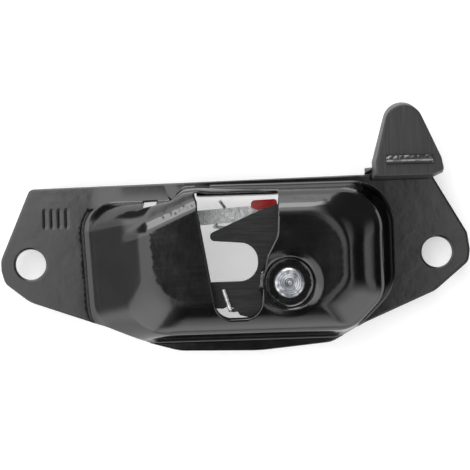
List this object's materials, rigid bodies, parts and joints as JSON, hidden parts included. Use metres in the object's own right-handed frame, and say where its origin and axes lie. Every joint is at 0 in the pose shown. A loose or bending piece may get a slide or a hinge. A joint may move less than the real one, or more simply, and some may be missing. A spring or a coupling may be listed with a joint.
{
  "type": "tailgate latch",
  "caption": "Drawn steel tailgate latch with a forked claw in an open mouth, sprung pawl, back plate, release lever and paddle, and two mounting holes.",
  "frame": {"origin": "midway between the two mounting holes, on the back face of the housing flange", "axes": "+X along the line of the mounting holes toward the paddle end, +Y toward the release paddle, +Z out of the dome toward the striker"},
  "size_m": [0.1796, 0.0928, 0.0275],
  "materials": {
    "black_gloss": "gloss black electrocoat over drawn steel",
    "black_satin": "satin black coating with fine brushing under it",
    "zinc": "bright zinc plating",
    "zinc_wire": "zinc-plated spring wire",
    "steel": "plain oiled steel",
    "red_plastic": "moulded red plastic",
    "rubber": "black rubber sleeve"
  },
  "bodies": {
    "frame": {"back_plate": "zinc", "bumper_post": "zinc", "claw_bumper": "rubber", "claw_bushing": "steel", "claw_pivot_rivet": "zinc", "claw_washer": "steel", "housing": "black_gloss", "lever_stud": "zinc", "lever_washer": "steel", "pawl_spacer": "steel", "pawl_stud": "zinc"},
    "claw": {"claw": "black_satin", "claw_spring": "zinc_wire"},
    "pawl": {"pawl": "steel", "pawl_spring": "zinc_wire"},
    "lever": {"release_lever": "zinc", "release_paddle": "black_satin", "rod_clip": "red_plastic", "lever_spring": "zinc_wire"}
  },
  "joints": [
    {"name": "lever_turn", "type": "hinge", "parent": "frame", "child": "lever", "pos_m": [0.026, 0.012, -0.004], "axis": [0, 0, 1], "range_deg": [0, 11.4], "stiffness_Nm_per_rad": 0.4},
    {"name": "pawl_turn", "type": "hinge", "parent": "frame", "child": "pawl", "pos_m": [-0.032, 0.01, 0.012], "axis": [0, 0, 1], "range_deg": [-30, 0]},
    {"name": "claw_turn", "type": "hinge", "parent": "frame", "child": "claw", "pos_m": [0.0206, -0.0096, 0.012], "axis": [0, 0, 1], "range_deg": [-40, 0]}
  ],
  "couplings": [
    {"joint": "pawl_turn", "follows": "lever_turn", "ratio": -2.6315},
    {"joint": "claw_turn", "follows": "lever_turn", "ratio": -3.5087}
  ]
}
